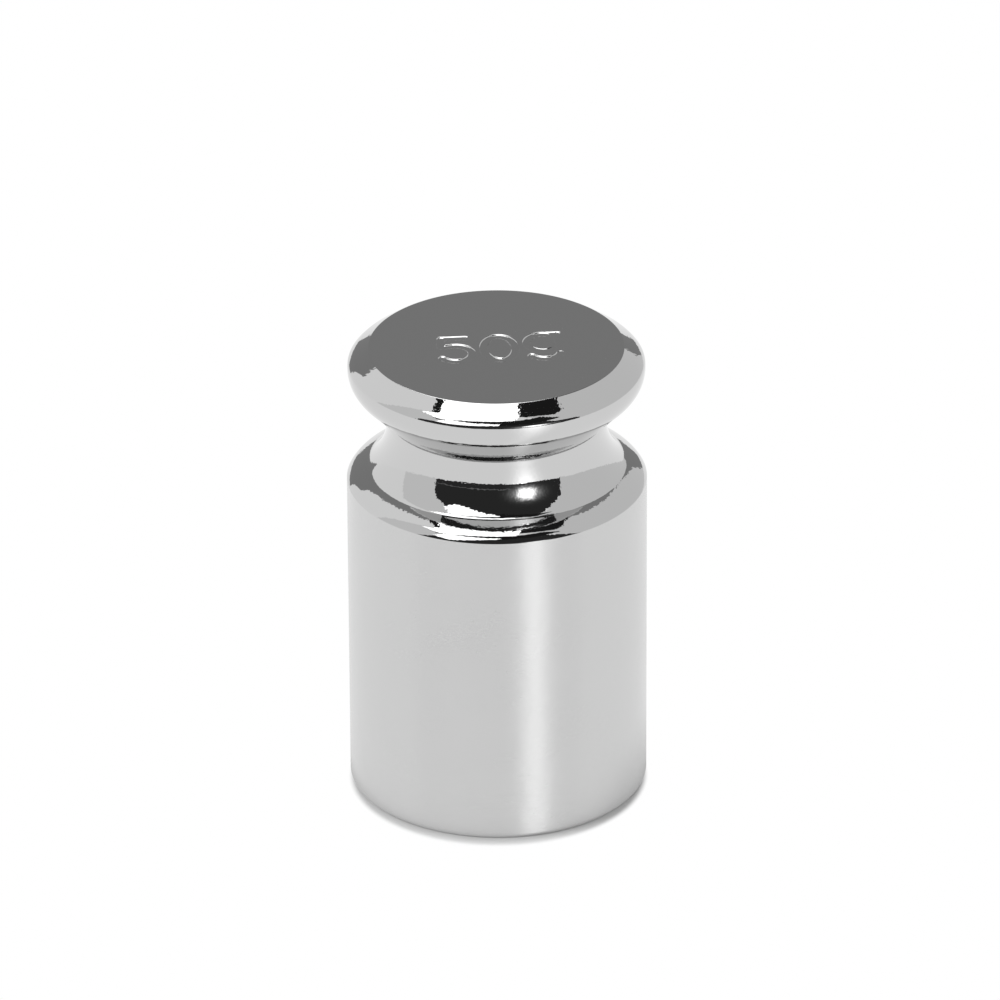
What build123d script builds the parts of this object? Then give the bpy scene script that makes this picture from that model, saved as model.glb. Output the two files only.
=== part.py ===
"""Calibration weight, 50 g, knob form, turned from one bar of steel and chrome plated.

One solid of revolution about Z.  Millimetres, +Z up, origin at the centre of the base.
The outline is walked from the top of the body's wall up to the flat top as a chain of faces,
each one starting where the last one ends.  A tilt is the angle, in degrees, between a face's
outward side and the horizontal: 0 for a wall, 90 for a face looking straight up.
"""

from build123d import *
import os

# Body: a plain cylinder with a broken lower edge
body_diameter = 17.7
body_height = 19.61
base_edge_radius = 0.25

# Shoulder: a cambered bevel, a rounded crown and a nearly flat ring
wall_edge_radius = 0.08
bevel_tilt = 31.8
bevel_radius = 3.35
crown_start_tilt = 41.2
crown_radius = 0.95
ring_tilt = 66.0
ring_radius = 9.6
ring_inner_tilt = 68.5

# Cove: a small hollow foot, then one long arc up into the waist
foot_radius = 0.72
cove_tilt = 42.3
cove_radius = 4.02
waist_tilt = -1.2
waist_height = 0.45
waist_corner_radius = 0.40

# Knob: conical underside, rim of two arcs, chamfer and flat top
underside_tilt = -44.4
underside_length = 2.42
rim_lower_radius = 1.80
rim_upper_radius = 0.915
chamfer_tilt = 56.8
chamfer_length = 1.035
flat_edge_radius = 0.18


def upward(tilt):
    """Direction in which a face of that tilt is walked up the outline."""
    return Vector(0, 1).rotate(Axis.Z, tilt)


def bend(last, radius, turn):
    """An arc that carries on smoothly from the last face, outwards when the turn is positive."""
    return JernArc(start=last @ 1, tangent=last % 1, radius=radius, arc_size=turn)


def corner(sketch, place):
    """The corner of the section at that place."""
    return sketch.vertices().sort_by_distance(Vertex(place.X, place.Y, 0))[0]


body_radius = body_diameter / 2
base_corner = Vector(body_radius, 0)
wall_top = Vector(body_radius, body_height)

with BuildPart() as weight:
    with BuildSketch(Plane.XZ) as section:
        with BuildLine():
            # Shoulder
            bevel = JernArc(
                start=wall_top,
                tangent=upward(bevel_tilt),
                radius=bevel_radius,
                arc_size=crown_start_tilt - bevel_tilt,
            )
            crown = bend(bevel, crown_radius, ring_tilt - crown_start_tilt)
            ring = bend(crown, ring_radius, ring_inner_tilt - ring_tilt)

            # Cove and waist
            foot = bend(ring, foot_radius, cove_tilt - ring_inner_tilt)
            cove = bend(foot, cove_radius, waist_tilt - cove_tilt)
            waist = PolarLine(start=cove @ 1, length=waist_height, direction=cove % 1)

            # Knob
            underside = PolarLine(
                start=waist @ 1, length=underside_length, direction=upward(underside_tilt)
            )
            rim_lower = bend(underside, rim_lower_radius, -underside_tilt)
            rim_upper = bend(rim_lower, rim_upper_radius, chamfer_tilt)
            chamfer = PolarLine(
                start=rim_upper @ 1, length=chamfer_length, direction=rim_upper % 1
            )

            # Flat top, turning axis, base and wall
            top_level = (chamfer @ 1).Y
            Polyline(chamfer @ 1, (0, top_level), (0, 0), base_corner, wall_top)
        make_face()
        fillet(corner(section, base_corner), base_edge_radius)
        fillet(corner(section, wall_top), wall_edge_radius)
        fillet(corner(section, waist @ 1), waist_corner_radius)
        fillet(corner(section, chamfer @ 1), flat_edge_radius)
    revolve(axis=Axis.Z)

weight.part.label = "weight"
os.makedirs("parts", exist_ok=True)
export_step(weight.part, "parts/weight.step")
print(f"height {top_level:.2f} mm, volume {weight.part.volume:.1f} mm3")
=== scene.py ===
"""Calibration weight: its plated finish, its stamped mark and the studio it stands in."""

import bpy
import math
import numpy as np
from mathutils import Matrix, Vector


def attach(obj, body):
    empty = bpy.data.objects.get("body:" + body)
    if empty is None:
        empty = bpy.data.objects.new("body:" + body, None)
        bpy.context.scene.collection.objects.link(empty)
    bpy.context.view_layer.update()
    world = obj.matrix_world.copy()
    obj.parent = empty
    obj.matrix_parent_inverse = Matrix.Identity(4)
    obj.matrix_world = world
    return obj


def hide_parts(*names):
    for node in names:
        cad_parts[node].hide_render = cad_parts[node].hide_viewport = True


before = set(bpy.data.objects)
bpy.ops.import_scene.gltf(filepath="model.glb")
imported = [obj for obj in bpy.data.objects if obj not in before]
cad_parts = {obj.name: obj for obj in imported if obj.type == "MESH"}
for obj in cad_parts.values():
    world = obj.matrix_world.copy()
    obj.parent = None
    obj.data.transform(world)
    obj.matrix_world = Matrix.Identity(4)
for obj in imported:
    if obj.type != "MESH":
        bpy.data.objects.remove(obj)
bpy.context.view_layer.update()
MM = 0.001

# ---------------------------------------------------------------- sizes of the weight, in millimetres
# A tilt is the angle in degrees of the surface's outward normal above the horizontal.
BASE_MIDDLE_RADIUS = 0.02
BODY_DIAMETER = 17.7
BODY_HEIGHT = 19.61
BASE_EDGE_RADIUS = 0.25
WALL_EDGE_RADIUS = 0.08
BEVEL_TILT = 30.0
BEVEL_RADIUS = 1.47
CROWN_START_TILT = 44.0
CROWN_RADIUS = 1.19
RING_TILT = 55.6
RING_RADIUS = 6.81
RING_INNER_TILT = 63.0
FOOT_RADIUS = 0.86
COVE_TILT = 41.6
COVE_RADIUS = 3.84
WAIST_TILT = -1.1
WAIST_HEIGHT = 0.46
WAIST_CORNER_RADIUS = 0.30
UNDERSIDE_TILT = -44.8
UNDERSIDE_LENGTH = 2.49
RIM_LOWER_RADIUS = 1.77
RIM_EDGE_TILTS = (6.8, 39.3)
RIM_EDGE_RADIUS = 0.39
RIM_UPPER_RADIUS = 1.76
CHAMFER_TILT = 56.2
CHAMFER_LENGTH = 0.935
FLAT_EDGE_RADIUS = 0.09

# ---------------------------------------------------------------- how finely the surface is divided
SEGMENTS = 400
MARK_CELLS_ACROSS = 266
MARK_CELLS_DEEP = SEGMENTS - MARK_CELLS_ACROSS
MARK_HALF_WIDTH = 4.1
MARK_HALF_DEPTH = 2.06
BLEND_RINGS = 4

# ---------------------------------------------------------------- the stamped mark, in millimetres
MARK_TURN = 4.6
MARK_PITCH = 2.62
MARK_CENTRE = (0.17, -0.22)
GLYPH_HALF_WIDTH = 0.93
GLYPH_HALF_HEIGHT = 1.5
STROKE_HALF_WIDTH = 0.28
STROKE_WALL = 0.09
STROKE_DEPTH = 0.055
LIP_HEIGHT = 0.005
LIP_WIDTH = 0.16

# ---------------------------------------------------------------- finishes
# Roughness is given in three parts: plain plating, what haze adds and what a scratch adds.
MIRROR_COLOUR = (0.585, 0.585, 0.585, 1)
MIRROR_ROUGHNESS = (0.012, 0.03, 0.08)
SATIN_COLOUR = (0.61, 0.61, 0.61, 1)
SATIN_ROUGHNESS = (0.22, 0.04, 0.06)
# Relief is the height of the fine surface texture in metres; scales count its waves per metre.
MIRROR_RELIEF = 3.6e-6
MIRROR_LINES_SHARE = 0.4
PEEL_SCALE = 4200.0
SATIN_RELIEF = 4e-6
WOBBLE_SCALE = 900.0
WOBBLE_SHARE = 3.5
# Turning lines follow the height plus this share of the radius, so that they cover flat faces too.
TURNING_RADIUS_SHARE = 0.7
# A scratch shows where its noise is this near to the middle and the haze is above this level.
SCRATCH_NEARNESS = 0.006
SCRATCH_HAZE = 0.56

# ---------------------------------------------------------------- camera
CAMERA_ELEVATION = 27.27
CAMERA_DISTANCE = 582.13
CAMERA_PIXELS_PER_MM = 16.931
CAMERA_TARGET = (0.173, 0.0, 17.946)
CAMERA_ROLL = -0.29
IMAGE_SIZE = 1000
SENSOR_WIDTH = 36.0

# ---------------------------------------------------------------- studio
# Distances, heights and the key lamp's place are in metres.
STUDIO_CENTRE = Vector((0.0, 0.0, 24.0)) * MM
FLOOR_RADIUS = 1.4
FLOOR_POINTS = 96
FLOOR_TONE = 0.95
PANEL_DISTANCE = 0.97
LAMP_DISTANCE = 0.94
WALL_DISTANCE = 1.0
CEILING_HEIGHT = 0.6
# Elevations in degrees seen from the weight: where cards meet the floor, and the top of the walls.
FLOOR_LINE = -1.4
WALL_TOP = 75
# The contact shadow round the foot, in millimetres: its width at the front, how far it is moved that way and
# how wide its soft outer edge is.  The shade is painted shade in the paper's own colour: how bright that
# colour stays right at the foot.
CONTACT_REACH = 1.1
CONTACT_SHIFT = 0.95
CONTACT_EDGE = 0.5
CONTACT_SHADE = 0.6
# The wider shade that only the metal sees: its width in millimetres and its brightness at the foot.
SHADE_REACH = 6.0
SHADE_NEAR = 0.3
ROOM_STRENGTH = 0.8
KEY_PLACE = Vector((-0.40, -0.15, 0.45))
KEY_SIZE = 0.25
KEY_POWER = 1.6
# The strip lamp's glow in degrees, across and up, and its two parts: a firm-edged one and a soft one.
LAMP_STRENGTH = 3.2
LAMP_MIDDLE = (28.5, 17.0)
LAMP_SPREAD = (8.0, 9.0)
LAMP_FIRM = 0.7
LAMP_SOFT = 0.3
# The lamp's sheen in the floor, in degrees; the share is how far the metal sees through the floor to it.
SHEEN_DIRECTION = 28.2
SHEEN_WIDTH = 10.8
SHEEN_DEPTH = 27.0
SHEEN_STRENGTH = 12.0
SHEEN_SHARE = 0.1


# ================================================================ outline of the weight
def walk(tilt, length):
    """The step of that length up a straight face whose normal is tilted so many degrees."""
    angle = math.radians(tilt)
    return length * np.array((-math.sin(angle), math.cos(angle)))


def straight(start, end, tilt, count):
    """Points evenly spaced on a straight face, each with its tilt and without the first one."""
    share = np.linspace(0, 1, count + 1)[1:, None]
    points = np.array(start)[:2] * (1 - share) + np.array(end)[:2] * share
    return np.c_[points, np.full(count, tilt)]


def bend(start, tilt_from, tilt_to, radius, count):
    """An arc walked up the outline from start, each point with its tilt, without the first one.

    The surface's outward normal rises from tilt_from to tilt_to degrees above the horizontal.  With a
    convex arc the centre lies one radius behind the start against the normal, and with a hollow one, whose
    tilt falls, one radius in front of it.
    """
    tilt = np.linspace(tilt_from, tilt_to, count + 1)
    normal = np.c_[np.cos(np.radians(tilt)), np.sin(np.radians(tilt))]
    side = 1.0 if tilt_to > tilt_from else -1.0
    return np.c_[np.array(start)[:2] + side * radius * (normal - normal[0]), tilt][1:]


def rounded(corner, radius, tilt_from, tilt_to, count):
    """Where the arc that rounds a corner between two straight faces starts, and the arc itself."""
    back = radius * math.tan(math.radians(abs(tilt_to - tilt_from)) / 2)
    start = np.array(corner)[:2] - walk(tilt_from, back)
    return start, bend(start, tilt_from, tilt_to, radius, count)


def outline():
    """Radius, height and tilt along the weight, from the middle of its base up to the edge of the flat top.

    Returns the points and the two indices between which the satin wall lies.
    """
    radius = BODY_DIAMETER / 2
    base = straight((BASE_MIDDLE_RADIUS, 0), (radius - BASE_EDGE_RADIUS, 0), -90, 3)
    edge = bend(base[-1], -90, 0, BASE_EDGE_RADIUS, 6)
    wall_top = (radius, BODY_HEIGHT)
    start, wall_edge = rounded(wall_top, WALL_EDGE_RADIUS, 0, BEVEL_TILT, 3)
    wall = straight(edge[-1], start, 0, 5)
    bevel = bend(wall_top, BEVEL_TILT, CROWN_START_TILT, BEVEL_RADIUS, 9)[1:]
    crown = bend(bevel[-1], CROWN_START_TILT, RING_TILT, CROWN_RADIUS, 8)
    ring = bend(crown[-1], RING_TILT, RING_INNER_TILT, RING_RADIUS, 8)
    foot = bend(ring[-1], RING_INNER_TILT, COVE_TILT, FOOT_RADIUS, 10)
    cove = bend(foot[-1], COVE_TILT, WAIST_TILT, COVE_RADIUS, 24)
    waist_top = cove[-1][:2] + walk(WAIST_TILT, WAIST_HEIGHT)
    start, waist_corner = rounded(waist_top, WAIST_CORNER_RADIUS, WAIST_TILT, UNDERSIDE_TILT, 10)
    waist = straight(cove[-1], start, WAIST_TILT, 2)
    cone = straight(waist_corner[-1], waist_top + walk(UNDERSIDE_TILT, UNDERSIDE_LENGTH), UNDERSIDE_TILT, 4)
    lower = bend(cone[-1], UNDERSIDE_TILT, RIM_EDGE_TILTS[0], RIM_LOWER_RADIUS, 16)
    rim = bend(lower[-1], *RIM_EDGE_TILTS, RIM_EDGE_RADIUS, 10)
    upper = bend(rim[-1], RIM_EDGE_TILTS[1], CHAMFER_TILT, RIM_UPPER_RADIUS, 7)
    flat_edge = upper[-1][:2] + walk(CHAMFER_TILT, CHAMFER_LENGTH)
    start, rolled = rounded(flat_edge, FLAT_EDGE_RADIUS, CHAMFER_TILT, 90, 5)
    chamfer = straight(upper[-1], start, CHAMFER_TILT, 3)
    parts = [[(BASE_MIDDLE_RADIUS, 0, -90)], base, edge, wall, wall_edge, bevel, crown, ring, foot, cove,
             waist, waist_corner, cone, lower, rim, upper, chamfer, rolled]
    first = len(base) + len(edge)
    return np.vstack(parts), first, first + len(wall)


# ================================================================ the stamped mark
def oval(centre, half_width, half_height, first, last, count=28):
    """Points on an ellipse between two angles in degrees, counted from +X towards +Y."""
    angle = np.radians(np.linspace(first, last, count))
    return np.c_[centre[0] + half_width * np.cos(angle), centre[1] + half_height * np.sin(angle)]


def mark_lines():
    """The strokes of the figures 5 and 0 and of the letter g: depth share and centre-line of each."""
    w, h = GLYPH_HALF_WIDTH, GLYPH_HALF_HEIGHT
    five = [(0.6, np.array([(0.74 * w, h), (-0.78 * w, h)])),
            (1.0, np.array([(-0.78 * w, h), (-0.88 * w, 0.30 * h)])),
            (1.0, np.vstack([[(-0.70 * w, 0.26 * h)], oval((0, -0.33 * h), 1.04 * w, 0.67 * h, 104, -148)]))]
    nought = [(1.0, oval((0, 0), w, 1.03 * h, 0, 360, 49))]
    gee = [(1.0, oval((-0.04 * w, 0.34 * h), 1.02 * w, 0.73 * h, 72, 185, 25)),
           (0.35, oval((-0.04 * w, 0.34 * h), 1.02 * w, 0.73 * h, 185, 350, 25)),
           (0.6, np.array([(0.30 * w, 1.07 * h), (0.98 * w, 1.07 * h)])),
           (0.8, np.array([(0.98 * w, 1.07 * h), (0.99 * w, -0.5 * h)])),
           (1.0, oval((-0.02 * w, -0.45 * h), 1.02 * w, 0.6 * h, -8, -148))]
    lines = []
    for place, glyph in zip((-1, 0, 1), (five, nought, gee)):
        lines += [(share, line + np.array((place * MARK_PITCH, 0.0))) for share, line in glyph]
    return lines


def distance_to_line(points, line):
    """Distance from each point to a broken line.

    For each straight piece the point is dropped on to it, held between its ends, and measured from there.
    """
    best = np.full(len(points), np.inf)
    for start, step in zip(line[:-1], line[1:] - line[:-1]):
        away = points - start
        share = np.clip(away @ step / max(step @ step, 1e-12), 0, 1)
        best = np.minimum(best, np.hypot(*(away - share[:, None] * step).T))
    return best


def mark_height(points):
    """Height of the flat top around the mark, in millimetres above the flat.

    Inside a stroke the metal falls as half a cosine wave across a narrow wall, down to a flat floor.  Just
    outside it a low lip of displaced metal rises and falls again, as a full cosine wave.
    """
    groove, lip = np.zeros(len(points)), np.zeros(len(points))
    for depth_share, line in mark_lines():
        away = distance_to_line(points, line)
        inside = np.clip((STROKE_HALF_WIDTH - away) / STROKE_WALL, 0, 1)
        groove = np.maximum(groove, depth_share * (0.5 - 0.5 * np.cos(np.pi * inside)))
        beyond = np.clip((away - STROKE_HALF_WIDTH) / LIP_WIDTH, 0, 1)
        lip = np.maximum(lip, depth_share * (0.5 - 0.5 * np.cos(2 * np.pi * beyond)))
    return LIP_HEIGHT * lip * (groove == 0) - STROKE_DEPTH * groove


# ================================================================ the weight's mesh
def band(lower, upper):
    """Quads between two closed rings of vertex numbers, facing outwards when the rings run anticlockwise."""
    return np.stack([lower, np.roll(lower, -1), np.roll(upper, -1), upper], -1)


def weight_mesh():
    """One closed skin: its vertices, outward normals, faces and finishes.

    The outline is turned about Z.  On the flat top a rectangle of fine cells holds the mark.  A few rings
    blend the circle of the flat's edge into the rectangle's shape, and a band of triangles joins the last
    ring to the rectangle's border, which has twice as many points.
    """
    points, wall_first, wall_last = outline()
    turn = math.radians(MARK_TURN)
    corner = math.atan2(-MARK_HALF_DEPTH, -MARK_HALF_WIDTH) + turn
    angle = corner + np.linspace(0, 2 * np.pi, SEGMENTS, endpoint=False)
    circle = np.c_[np.cos(angle), np.sin(angle)]
    rings = [np.c_[radius * circle, np.full(SEGMENTS, height)] for radius, height, _ in points]
    normals = [np.c_[math.cos(math.radians(tilt)) * circle, np.full(SEGMENTS, math.sin(math.radians(tilt)))]
               for _, _, tilt in points]

    across, deep = MARK_CELLS_ACROSS, MARK_CELLS_DEEP
    u = np.linspace(-MARK_HALF_WIDTH, MARK_HALF_WIDTH, across + 1)
    v = np.linspace(-MARK_HALF_DEPTH, MARK_HALF_DEPTH, deep + 1)
    cells = np.stack(np.meshgrid(u, v), -1).reshape(-1, 2)
    height = mark_height(cells)
    fall_v, fall_u = np.gradient(height.reshape(deep + 1, across + 1), v, u)
    spin = np.array(((math.cos(turn), math.sin(turn)), (-math.sin(turn), math.cos(turn))))
    field = np.c_[(cells + np.array(MARK_CENTRE)) @ spin, points[-1, 1] - LIP_HEIGHT + height]
    slopes = np.c_[-np.c_[fall_u.ravel(), fall_v.ravel()] @ spin, np.ones(len(cells))]
    number = np.arange(len(cells)).reshape(deep + 1, across + 1)
    border = np.concatenate([number[0, :-1], number[:-1, -1], number[-1, :0:-1], number[:0:-1, 0]])

    edge = rings[-1]
    for share in np.linspace(0, 1, BLEND_RINGS + 2)[1:-1]:
        rings.append(edge * (1 - share) + field[border[::2]] * share)
        normals.append(np.tile((0.0, 0.0, 1.0), (SEGMENTS, 1)))

    count = len(rings)
    ring_numbers = np.arange(count * SEGMENTS).reshape(count, SEGMENTS)
    field_numbers = count * SEGMENTS + number
    vertices = np.vstack(rings + [field, [(0.0, 0.0, 0.0)]]) * MM
    normals = np.vstack(normals + [slopes / np.linalg.norm(slopes, axis=1)[:, None], [(0.0, 0.0, -1.0)]])

    quads = [band(ring_numbers[i], ring_numbers[i + 1]) for i in range(count - 1)]
    quads.append(np.stack([field_numbers[:-1, :-1], field_numbers[:-1, 1:], field_numbers[1:, 1:],
                           field_numbers[1:, :-1]], -1).reshape(-1, 4))
    last, following = ring_numbers[-1], np.roll(ring_numbers[-1], -1)
    near, middle = count * SEGMENTS + border[::2], count * SEGMENTS + border[1::2]
    under = np.full(SEGMENTS, count * SEGMENTS + len(cells))
    triangles = np.vstack([np.stack(corners, -1) for corners in (
        (last, following, middle), (last, middle, near), (following, np.roll(near, -1), middle),
        (under, np.roll(ring_numbers[0], -1), ring_numbers[0]))])
    faces = np.vstack(quads).tolist() + triangles.tolist()
    finish = np.zeros(len(faces), np.int32)
    finish[wall_first * SEGMENTS:wall_last * SEGMENTS] = 1
    return vertices, normals, faces, finish


def make_mesh(name, vertices, faces):
    """A smooth mesh object at the origin from arrays of vertices and faces."""
    mesh = bpy.data.meshes.new(name)
    mesh.from_pydata(vertices.tolist(), [], faces)
    mesh.polygons.foreach_set("use_smooth", np.ones(len(mesh.polygons), bool))
    mesh.update()
    piece = bpy.data.objects.new(name, mesh)
    bpy.context.scene.collection.objects.link(piece)
    return piece


# ================================================================ materials
def new_material(name):
    """A material with only an output node in it: the material, its node tree and that output."""
    material = bpy.data.materials.new(name)
    material.use_nodes = True
    tree = material.node_tree
    tree.nodes.clear()
    output = tree.nodes.new("ShaderNodeOutputMaterial")
    return material, tree, output


def node(tree, kind, **values):
    """A node with its settings and its unlinked inputs set; an input's spaces are written as underscores."""
    made = tree.nodes.new(kind)
    for name, value in values.items():
        if hasattr(made, name):
            setattr(made, name, value)
        else:
            made.inputs[name.replace("_", " ")].default_value = value
    return made


def new_group(name, inputs, outputs):
    """A shader node group with named value inputs (with defaults) and outputs."""
    group = bpy.data.node_groups.new(name, "ShaderNodeTree")
    for label, default in inputs.items():
        kind = "NodeSocketVector" if default is None else "NodeSocketFloat"
        socket = group.interface.new_socket(label, in_out="INPUT", socket_type=kind)
        if default is not None:
            socket.default_value = default
    for label in outputs:
        group.interface.new_socket(label, in_out="OUTPUT", socket_type="NodeSocketFloat")
    return group, group.nodes.new("NodeGroupInput"), group.nodes.new("NodeGroupOutput")


def use_group(tree, group, **values):
    """That group placed in a material with its own values."""
    made = tree.nodes.new("ShaderNodeGroup")
    made.node_tree = group
    for name, value in values.items():
        made.inputs[name.replace("_", " ")].default_value = value
    return made


def maths(tree, operation, first, second=None, third=None):
    """One Math node; each term is a number or another node's output."""
    made = tree.nodes.new("ShaderNodeMath")
    made.operation = operation
    for socket, term in zip(made.inputs, (first, second, third)):
        if term is None:
            continue
        if isinstance(term, (int, float)):
            socket.default_value = term
        else:
            tree.links.new(term, socket)
    return made.outputs[0]


def turning_group():
    """Fine lines round the axis: noise read at (slow angle, slow angle, fast height and radius)."""
    inputs = {"Place": None, "Lines per mm": 6.0, "Along": 0.35, "Finer lines": 3.0}
    group, source, sink = new_group("turning_lines", inputs, ("Height",))
    links = group.links
    split = group.nodes.new("ShaderNodeSeparateXYZ")
    links.new(source.outputs["Place"], split.inputs[0])
    x, y, z = (maths(group, "MULTIPLY", split.outputs[i], 1 / MM) for i in range(3))
    squares = maths(group, "MULTIPLY", x, x), maths(group, "MULTIPLY", y, y)
    radius = maths(group, "SQRT", maths(group, "ADD", *squares))
    level = maths(group, "ADD", z, maths(group, "MULTIPLY", radius, TURNING_RADIUS_SHARE))
    level = maths(group, "MULTIPLY", level, source.outputs["Lines per mm"])
    join = group.nodes.new("ShaderNodeCombineXYZ")
    links.new(maths(group, "MULTIPLY", x, source.outputs["Along"]), join.inputs[0])
    links.new(maths(group, "MULTIPLY", y, source.outputs["Along"]), join.inputs[1])
    links.new(level, join.inputs[2])
    noise = node(group, "ShaderNodeTexNoise", Scale=1.0, Roughness=0.6)
    links.new(source.outputs["Finer lines"], noise.inputs["Detail"])
    links.new(join.outputs[0], noise.inputs["Vector"])
    links.new(noise.outputs[0], sink.inputs["Height"])
    return group


def handling_group():
    """Faint marks of use: a cloudy haze, and sparse short scratches.

    A scratch is where a stretched noise crosses its middle, in the cloudier places only.
    """
    inputs = {"Place": None, "Haze scale": 0.35, "Scratch scale": 0.8}
    group, source, sink = new_group("handling_marks", inputs, ("Haze", "Scratches"))
    links = group.links
    place = node(group, "ShaderNodeVectorMath", operation="SCALE")
    place.inputs["Scale"].default_value = 1 / MM
    links.new(source.outputs["Place"], place.inputs[0])
    haze = node(group, "ShaderNodeTexNoise", Detail=4.0, Roughness=0.55)
    links.new(place.outputs[0], haze.inputs["Vector"])
    links.new(source.outputs["Haze scale"], haze.inputs["Scale"])
    links.new(haze.outputs[0], sink.inputs["Haze"])
    bent = node(group, "ShaderNodeMapping")
    bent.inputs["Rotation"].default_value = (0.3, 0.5, 0.9)
    bent.inputs["Scale"].default_value = (1.0, 7.0, 7.0)
    links.new(place.outputs[0], bent.inputs[0])
    fibre = node(group, "ShaderNodeTexNoise", Detail=2.0, Roughness=0.5, Distortion=0.6)
    links.new(bent.outputs[0], fibre.inputs["Vector"])
    links.new(source.outputs["Scratch scale"], fibre.inputs["Scale"])
    off = maths(group, "ABSOLUTE", maths(group, "SUBTRACT", fibre.outputs[0], 0.5))
    line = maths(group, "SUBTRACT", 1.0, maths(group, "DIVIDE", off, SCRATCH_NEARNESS))
    sparse = maths(group, "GREATER_THAN", haze.outputs[0], SCRATCH_HAZE)
    links.new(maths(group, "MULTIPLY", maths(group, "MAXIMUM", line, 0.0), sparse), sink.inputs["Scratches"])
    return group


def set_roughness(tree, shader, marks, parts):
    """Roughness of plain plating, plus what haze and scratches add where they lie."""
    plain, hazy, scratched = parts
    rough = maths(tree, "MULTIPLY_ADD", marks.outputs["Haze"], hazy, plain)
    rough = maths(tree, "MULTIPLY_ADD", marks.outputs["Scratches"], scratched, rough)
    tree.links.new(rough, shader.inputs["Roughness"])


def mirror_chrome(turning, handling):
    """Polished plating: a mirror with a fine orange peel, faint turning lines and a trace of haze."""
    material, tree, output = new_material("mirror_chrome")
    place = node(tree, "ShaderNodeTexCoord").outputs["Object"]
    shader = node(tree, "ShaderNodeBsdfPrincipled", Metallic=1.0)
    shader.inputs["Base Color"].default_value = MIRROR_COLOUR
    marks = use_group(tree, handling, Haze_scale=0.5, Scratch_scale=1.1)
    tree.links.new(place, marks.inputs["Place"])
    set_roughness(tree, shader, marks, MIRROR_ROUGHNESS)
    lines = use_group(tree, turning, Lines_per_mm=6.0, Along=0.8, Finer_lines=1.0)
    tree.links.new(place, lines.inputs["Place"])
    peel = node(tree, "ShaderNodeTexNoise", Scale=PEEL_SCALE, Detail=1.0, Roughness=0.5)
    tree.links.new(place, peel.inputs["Vector"])
    height = maths(tree, "MULTIPLY_ADD", lines.outputs["Height"], MIRROR_LINES_SHARE, peel.outputs[0])
    bump = node(tree, "ShaderNodeBump", Strength=1.0, Distance=MIRROR_RELIEF)
    tree.links.new(height, bump.inputs["Height"])
    tree.links.new(bump.outputs[0], shader.inputs["Normal"])
    tree.links.new(shader.outputs[0], output.inputs[0])
    return material


def satin_wall(turning, handling):
    """Fine-turned plating, whose lines round the wall draw a bright lamp out up and down it.

    A slow wobble in the surface bends the edges of that stripe a little.
    """
    material, tree, output = new_material("satin_chrome")
    place = node(tree, "ShaderNodeTexCoord").outputs["Object"]
    shader = node(tree, "ShaderNodeBsdfPrincipled", Metallic=1.0, Anisotropic=0.9)
    shader.inputs["Anisotropic Rotation"].default_value = 0.25
    shader.inputs["Base Color"].default_value = SATIN_COLOUR
    marks = use_group(tree, handling, Haze_scale=0.3, Scratch_scale=0.8)
    tree.links.new(place, marks.inputs["Place"])
    set_roughness(tree, shader, marks, SATIN_ROUGHNESS)
    tangent = node(tree, "ShaderNodeTangent", direction_type="RADIAL", axis="Z")
    tree.links.new(tangent.outputs[0], shader.inputs["Tangent"])
    lines = use_group(tree, turning, Lines_per_mm=7.0, Along=0.3)
    tree.links.new(place, lines.inputs["Place"])
    wobble = node(tree, "ShaderNodeTexNoise", Scale=WOBBLE_SCALE, Detail=1.0, Roughness=0.5)
    tree.links.new(place, wobble.inputs["Vector"])
    height = maths(tree, "MULTIPLY_ADD", wobble.outputs[0], WOBBLE_SHARE, lines.outputs["Height"])
    bump = node(tree, "ShaderNodeBump", Strength=1.0, Distance=SATIN_RELIEF)
    tree.links.new(height, bump.inputs["Height"])
    tree.links.new(bump.outputs[0], shader.inputs["Normal"])
    tree.links.new(shader.outputs[0], output.inputs[0])
    return material


def make_weight():
    """The turned weight as one piece with its two finishes."""
    vertices, normals, faces, finish = weight_mesh()
    piece = make_mesh("turned_weight", vertices, faces)
    piece.data.normals_split_custom_set_from_vertices(normals.tolist())
    turning, handling = turning_group(), handling_group()
    piece.data.materials.append(mirror_chrome(turning, handling))
    piece.data.materials.append(satin_wall(turning, handling))
    piece.data.polygons.foreach_set("material_index", finish)
    piece.data.update()
    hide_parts("weight")
    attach(piece, "root")


# ================================================================ studio
def glow_material(name, strength):
    """A plain emitter of that brightness."""
    material, tree, output = new_material(name)
    material.cycles.emission_sampling = "NONE"
    glow = node(tree, "ShaderNodeEmission", Strength=strength)
    tree.links.new(glow.outputs[0], output.inputs[0])
    return material


def only_in_reflections(piece):
    """The studio's cards show in polished metal alone."""
    piece.visible_camera = False
    piece.visible_diffuse = False
    piece.visible_transmission = False
    piece.visible_volume_scatter = False
    piece.visible_shadow = False


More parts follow.
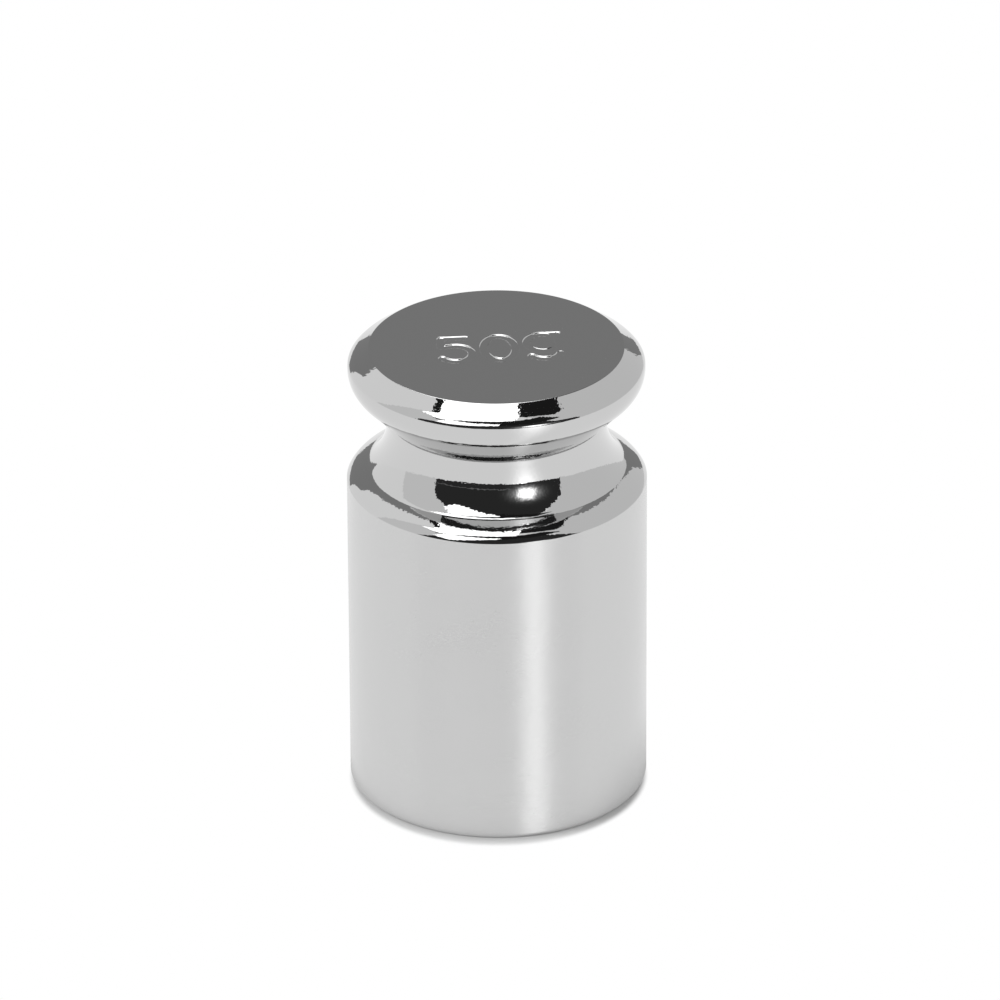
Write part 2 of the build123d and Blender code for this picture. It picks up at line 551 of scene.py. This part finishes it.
def card(name, strength, distance, left, right, bottom, top, count=33):
    """A curved card seen from the weight between two directions and two elevations, in degrees.

    Directions are counted from the camera's side towards +X.  Each edge is a number, or a list of values
    spread evenly along it: left and right change with height, bottom and top change from left to right.
    """
    s, t = np.meshgrid(np.linspace(0, 1, count), np.linspace(0, 1, count))

    def along(edge, share):
        values = np.atleast_1d(np.array(edge, float))
        stops = max(len(values), 2)
        return np.interp(share, np.linspace(0, 1, stops), np.broadcast_to(values, stops))

    azimuth = np.radians(along(left, t) * (1 - s) + along(right, t) * s)
    elevation = np.radians(along(bottom, s) * (1 - t) + along(top, s) * t)
    away = np.stack([np.sin(azimuth) * np.cos(elevation), -np.cos(azimuth) * np.cos(elevation),
                     np.sin(elevation)], -1).reshape(-1, 3)
    number = np.arange(count * count).reshape(count, count)
    faces = np.stack([number[:-1, :-1], number[:-1, 1:], number[1:, 1:], number[1:, :-1]], -1).reshape(-1, 4)
    piece = make_mesh(name, np.array(STUDIO_CENTRE) + distance * away, faces.tolist())
    piece.data.materials.append(glow_material(name, strength))
    only_in_reflections(piece)
    return piece


def dim(piece, share_at):
    """Dims a curved card from place to place by a share kept at its vertices.

    A share of 0 leaves the card clear there and 1 leaves it at full strength.
    """
    place = np.zeros(3 * len(piece.data.vertices))
    piece.data.vertices.foreach_get("co", place)
    x, y, z = (place.reshape(-1, 3) - np.array(STUDIO_CENTRE)).T
    azimuth, elevation = np.degrees(np.arctan2(x, -y)), np.degrees(np.arctan2(z, np.hypot(x, y)))
    level = piece.data.attributes.new("level", "FLOAT", "POINT")
    level.data.foreach_set("value", share_at(azimuth, elevation).astype(np.float32))
    tree = piece.data.materials[0].node_tree
    read = node(tree, "ShaderNodeAttribute", attribute_name="level")
    clear = node(tree, "ShaderNodeBsdfTransparent")
    mix = node(tree, "ShaderNodeMixShader")
    tree.links.new(read.outputs["Fac"], mix.inputs[0])
    tree.links.new(clear.outputs[0], mix.inputs[1])
    tree.links.new(tree.nodes["Emission"].outputs[0], mix.inputs[2])
    tree.links.new(mix.outputs[0], tree.nodes["Material Output"].inputs[0])


def lamp_share(azimuth, elevation):
    """The strip lamp's glow: two bells across its direction and its height, added.

    With distances from the middle counted in spreads, the firm bell is e to the power of minus the sum of
    their fourth powers.  The soft one takes half the square of the one across and the square of the one up.
    """
    across = (azimuth - LAMP_MIDDLE[0]) / LAMP_SPREAD[0]
    up = (elevation - LAMP_MIDDLE[1]) / LAMP_SPREAD[1]
    firm = np.exp(-across ** 4 - up ** 4)
    soft = np.exp(-across * across / 2 - up * up)
    return firm * LAMP_FIRM + soft * LAMP_SOFT


def sheen_share(azimuth, elevation):
    """The floor's sheen: a bell across the strip lamp's direction that fades with depth below the horizon.

    It is e to the power of minus the squared distance across, in widths, and minus the depth, in depths.
    """
    across = (azimuth - SHEEN_DIRECTION) / SHEEN_WIDTH
    return np.exp(-across * across + elevation / SHEEN_DEPTH)


def overhead(name, strength, height, left, right, front, back):
    """A flat card above the weight; its edges are given as slopes, distance over height."""
    x0, x1, y0, y1 = (value * height for value in (left, right, front, back))
    corners = np.array(((x0, y0, height), (x1, y0, height), (x1, y1, height), (x0, y1, height)))
    piece = make_mesh(name, np.array(STUDIO_CENTRE) + corners, [(0, 1, 2, 3)])
    piece.data.materials.append(glow_material(name, strength))
    only_in_reflections(piece)


def reach_from_base(tree, near, width, shift=0.0, start=0.0):
    """Rises smoothly from near to 1 over a ring of that width in millimetres round the weight's foot.

    The rise starts that far from the foot at the front.  With a shift the ring is moved towards the front by
    that much, so that it is narrower at the sides.
    """
    place = node(tree, "ShaderNodeTexCoord").outputs["Object"]
    moved = node(tree, "ShaderNodeVectorMath", operation="ADD")
    moved.inputs[1].default_value = (0, shift * MM, 0)
    tree.links.new(place, moved.inputs[0])
    away = node(tree, "ShaderNodeVectorMath", operation="LENGTH")
    tree.links.new(moved.outputs[0], away.inputs[0])
    reach = node(tree, "ShaderNodeMapRange", interpolation_type="SMOOTHSTEP")
    foot = BODY_DIAMETER / 2 - shift + start
    reach.inputs["From Min"].default_value = foot * MM
    reach.inputs["From Max"].default_value = (foot + width) * MM
    reach.inputs["To Min"].default_value = near
    reach.inputs["To Max"].default_value = 1.0
    tree.links.new(away.outputs["Value"], reach.inputs["Value"])
    return reach.outputs[0]


def make_floor():
    """A round pale floor that takes the weight's shadow close to its foot, deepened by painted shade there.

    Further out it is plain white to the camera and in the metal.  The metal also sees a small share of what
    lies below the floor, where the sheen of the strip lamp is hung as a mirrored card.
    """
    angle = np.linspace(0, 2 * np.pi, FLOOR_POINTS, endpoint=False)
    rim = np.c_[FLOOR_RADIUS * np.cos(angle), FLOOR_RADIUS * np.sin(angle), np.zeros(FLOOR_POINTS)]
    floor = make_mesh("studio_floor", rim, [tuple(range(FLOOR_POINTS))])
    material, tree, output = new_material("floor_white")
    material.cycles.emission_sampling = "NONE"
    paper = node(tree, "ShaderNodeBsdfDiffuse")
    # Painted shade: the paper's colour darkens towards the foot, on top of the shadow the lamps cast.
    near = reach_from_base(tree, CONTACT_SHADE, CONTACT_REACH)
    tone = node(tree, "ShaderNodeCombineColor")
    for channel in tone.inputs:
        tree.links.new(maths(tree, "MULTIPLY", near, FLOOR_TONE), channel)
    tree.links.new(tone.outputs[0], paper.inputs["Color"])
    white = node(tree, "ShaderNodeEmission", Strength=1.0)
    path = node(tree, "ShaderNodeLightPath")
    contact_start = CONTACT_REACH - CONTACT_EDGE
    contact = reach_from_base(tree, 0.0, CONTACT_EDGE, CONTACT_SHIFT, contact_start)
    shade = reach_from_base(tree, SHADE_NEAR, SHADE_REACH)
    seen = maths(tree, "MULTIPLY", path.outputs["Is Camera Ray"], contact)
    mirrored = maths(tree, "MULTIPLY", path.outputs["Is Glossy Ray"], shade)
    seen = maths(tree, "ADD", maths(tree, "ADD", seen, mirrored), path.outputs["Is Transmission Ray"])
    mix = node(tree, "ShaderNodeMixShader")
    tree.links.new(maths(tree, "MINIMUM", seen, 1.0), mix.inputs[0])
    tree.links.new(paper.outputs[0], mix.inputs[1])
    tree.links.new(white.outputs[0], mix.inputs[2])
    clear = node(tree, "ShaderNodeBsdfTransparent")
    through = node(tree, "ShaderNodeMixShader")
    tree.links.new(maths(tree, "MULTIPLY", path.outputs["Is Glossy Ray"], SHEEN_SHARE), through.inputs[0])
    tree.links.new(mix.outputs[0], through.inputs[1])
    tree.links.new(clear.outputs[0], through.inputs[2])
    tree.links.new(through.outputs[0], output.inputs[0])
    floor.data.materials.append(material)


def make_light():
    """A plain white room, a little weaker as light on the floor, where a soft key lamp adds the rest."""
    world = bpy.data.worlds.new("studio_air")
    world.use_nodes = True
    tree = world.node_tree
    path = node(tree, "ShaderNodeLightPath")
    seen = maths(tree, "ADD", path.outputs["Is Camera Ray"], path.outputs["Is Glossy Ray"])
    seen = maths(tree, "ADD", seen, path.outputs["Is Transmission Ray"])
    strength = maths(tree, "MULTIPLY_ADD", seen, 1.0 - ROOM_STRENGTH, ROOM_STRENGTH)
    background = tree.nodes["Background"]
    background.inputs["Color"].default_value = (1, 1, 1, 1)
    tree.links.new(strength, background.inputs["Strength"])
    bpy.context.scene.world = world
    key = bpy.data.lights.new("key_lamp", "AREA")
    key.size = KEY_SIZE
    key.energy = KEY_POWER
    lamp = bpy.data.objects.new("key_lamp", key)
    bpy.context.scene.collection.objects.link(lamp)
    lamp.location = KEY_PLACE
    lamp.rotation_euler = (-KEY_PLACE).to_track_quat("-Z", "Y").to_euler()
    lamp.visible_glossy = False
    lamp.visible_camera = False


def make_studio():
    """What the metal reflects: grey walls, a dark screen, a pale board, and lamps in front and above.

    Each card is given by its brightness, its distance, its left and right edges and its bottom and top.
    """
    card("wall_left", 0.80, WALL_DISTANCE, -98, -55, FLOOR_LINE, WALL_TOP)
    card("wall_far_left", 0.98, WALL_DISTANCE, -140.5, -98, FLOOR_LINE, WALL_TOP)
    card("wall_right", 0.765, WALL_DISTANCE, 55, 153.6, FLOOR_LINE, WALL_TOP)
    card("back_wall", 0.75, WALL_DISTANCE, 153.6, 219.5, FLOOR_LINE, WALL_TOP)
    card("back_dark", 0.27, LAMP_DISTANCE,
         [153.6, 153, 145, 128, 112], [219.5, 219.5, 221, 233, 250], FLOOR_LINE, 66)
    card("screen", 0.030, PANEL_DISTANCE, [-61, -61, -46], [63, 63, 49], [-1.3, -1.1, -0.7, -1.1, -1.3], 52)
    card("screen_seam", 0.16, LAMP_DISTANCE, -60, 14, [3.5, 6.5, 7.8, 8.4, 8.2], [4.5, 7.6, 8.9, 9.5, 9.2])
    card("screen_upper", 0.015, PANEL_DISTANCE, -64, 64, 52, 69)
    card("pale_board", 2.2, LAMP_DISTANCE, -54.7, 2.7, [40, 35, 43, 51, 54], 59)
    strip = card("strip_lamp", LAMP_STRENGTH, LAMP_DISTANCE, 0, 58, -1.3, 40, count=65)
    dim(strip, lamp_share)
    sheen = card("lamp_sheen", SHEEN_STRENGTH, LAMP_DISTANCE, -10, 68, -85, FLOOR_LINE)
    dim(sheen, sheen_share)
    overhead("top_lamp", 2.5, CEILING_HEIGHT, -0.40, 0.162, -0.37, 1.05)
    overhead("top_lamp_left", 2.5, CEILING_HEIGHT, -0.63, -0.40, -0.37, 0.03)
    overhead("top_flag_right", 0.015, CEILING_HEIGHT, 0.162, 0.47, -0.10, 1.05)
    overhead("top_flag_left", 0.015, CEILING_HEIGHT, -0.46, -0.40, 0.03, 0.45)


def make_camera():
    """A long lens from the front, a little above, rolled slightly."""
    elevation = math.radians(CAMERA_ELEVATION)
    forward = Vector((0, math.cos(elevation), -math.sin(elevation)))
    lens = bpy.data.cameras.new("camera")
    lens.sensor_fit = "HORIZONTAL"
    lens.sensor_width = SENSOR_WIDTH
    lens.lens = CAMERA_PIXELS_PER_MM * CAMERA_DISTANCE / IMAGE_SIZE * SENSOR_WIDTH
    lens.clip_start = 0.01
    lens.clip_end = 10
    camera = bpy.data.objects.new("camera", lens)
    bpy.context.scene.collection.objects.link(camera)
    camera.location = (Vector(CAMERA_TARGET) - CAMERA_DISTANCE * forward) * MM
    roll = Matrix.Rotation(math.radians(CAMERA_ROLL), 3, "Z")
    camera.rotation_euler = (forward.to_track_quat("-Z", "Y").to_matrix() @ roll).to_euler()
    bpy.context.scene.camera = camera


make_weight()
make_floor()
make_light()
make_studio()
make_camera()
bpy.context.scene.view_settings.view_transform = "Standard"
